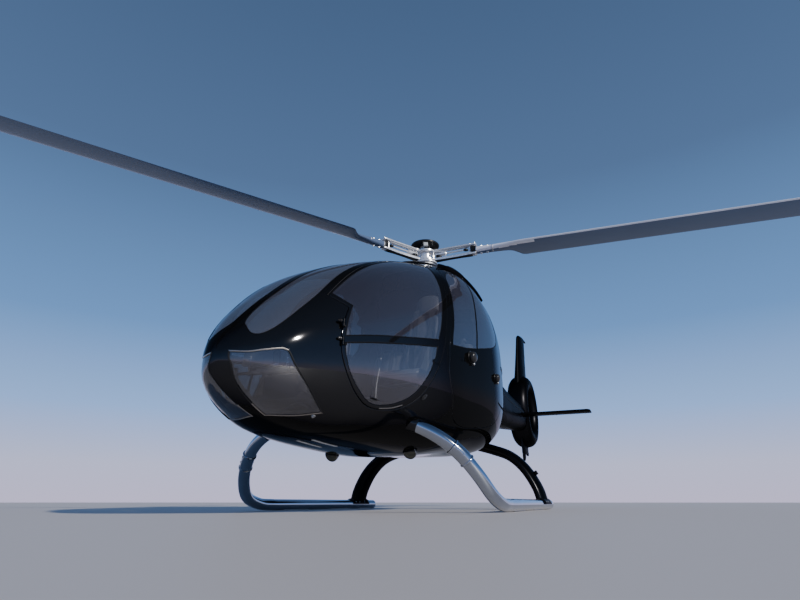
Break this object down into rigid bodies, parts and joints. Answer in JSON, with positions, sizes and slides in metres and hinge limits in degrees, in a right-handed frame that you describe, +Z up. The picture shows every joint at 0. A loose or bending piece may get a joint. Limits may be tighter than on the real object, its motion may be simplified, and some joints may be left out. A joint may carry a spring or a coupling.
{
  "type": "light helicopter",
  "caption": "Light passenger helicopter on skids, with a bladed main rotor, a shrouded tail fan, hinged front doors and an open glazed cabin.",
  "frame": {"origin": "centre of the whole outline in plan, at the ground plane under the skid tubes", "axes": "+Z up, +Y along the fuselage from the nose towards the tail, so the nose points to -Y, and +X towards the helicopter's own left side"},
  "size_m": [7.7137, 10.8121, 3.4197],
  "materials": {
    "body_paint": "gloss",
    "boom_paint": "gloss",
    "composite_paint": "gloss",
    "tinted_glass": "polished",
    "cabin_metal": "satin",
    "dark_metal": "satin",
    "console_plastic": "matte",
    "seat_fabric": "matte",
    "engine_metal": "satin",
    "gearbox_metal": "satin",
    "exhaust_steel": "satin",
    "polished_tube": "polished",
    "rotor_steel": "satin",
    "blade_composite": "satin",
    "fan_metal": "satin",
    "lamp_cover": "gloss"
  },
  "bodies": {
    "airframe": {"fuselage_shell": "body_paint", "rear_door_L": "body_paint", "windshield_L": "tinted_glass", "windshield_R": "tinted_glass", "chin_window_L": "tinted_glass", "chin_window_R": "tinted_glass", "rear_pane_front_L": "tinted_glass", "rear_pane_front_R": "tinted_glass", "rear_pane_aft_L": "tinted_glass", "rear_pane_aft_R": "tinted_glass", "cabin_floor": "cabin_metal", "engine_deck": "cabin_metal", "instrument_console": "console_plastic", "front_seat_L": "seat_fabric", "front_seat_R": "seat_fabric", "rear_bench": "seat_fabric", "cowling": "composite_paint", "main_gearbox": "gearbox_metal", "engine_block": "engine_metal", "exhaust_pipe": "exhaust_steel", "tail_boom": "boom_paint", "fan_shroud": "composite_paint", "tail_fin": "composite_paint", "tail_guard": "dark_metal", "tailplane_L": "composite_paint", "tailplane_R": "composite_paint", "fan_gearbox": "cabin_metal", "skid_L": "polished_tube", "skid_R": "polished_tube", "rear_strut_L": "dark_metal", "rear_strut_R": "dark_metal", "belly_lamp_L": "lamp_cover", "belly_lamp_R": "lamp_cover"},
    "main_rotor": {"rotor_mast": "rotor_steel", "rotor_hub": "rotor_steel", "main_blade_1": "blade_composite", "main_blade_2": "blade_composite", "main_blade_3": "blade_composite"},
    "tail_rotor": {"tail_fan": "fan_metal"},
    "left_front_door": {"front_door_L": "body_paint", "front_door_pane_upper_L": "tinted_glass", "front_door_pane_lower_L": "tinted_glass"},
    "right_front_door": {"front_door_R": "body_paint", "front_door_pane_upper_R": "tinted_glass", "front_door_pane_lower_R": "tinted_glass"}
  },
  "joints": [
    {"name": "main_rotor_spin", "type": "hinge", "parent": "airframe", "child": "main_rotor", "pos_m": [-1.143, -0.954, 2.714], "axis": [0, 0, 1], "continuous": true},
    {"name": "tail_fan_spin", "type": "hinge", "parent": "airframe", "child": "tail_rotor", "pos_m": [-1.143, 4.516, 1.75], "axis": [1, 0, 0], "continuous": true},
    {"name": "front_door_L_hinge", "type": "hinge", "parent": "airframe", "child": "left_front_door", "pos_m": [-0.66682, -3.65098, 0.98], "axis": [0, 0, -1], "range_deg": [0, 75]},
    {"name": "front_door_R_hinge", "type": "hinge", "parent": "airframe", "child": "right_front_door", "pos_m": [-1.61918, -3.65098, 0.98], "axis": [0, 0, 1], "range_deg": [0, 75]}
  ]
}
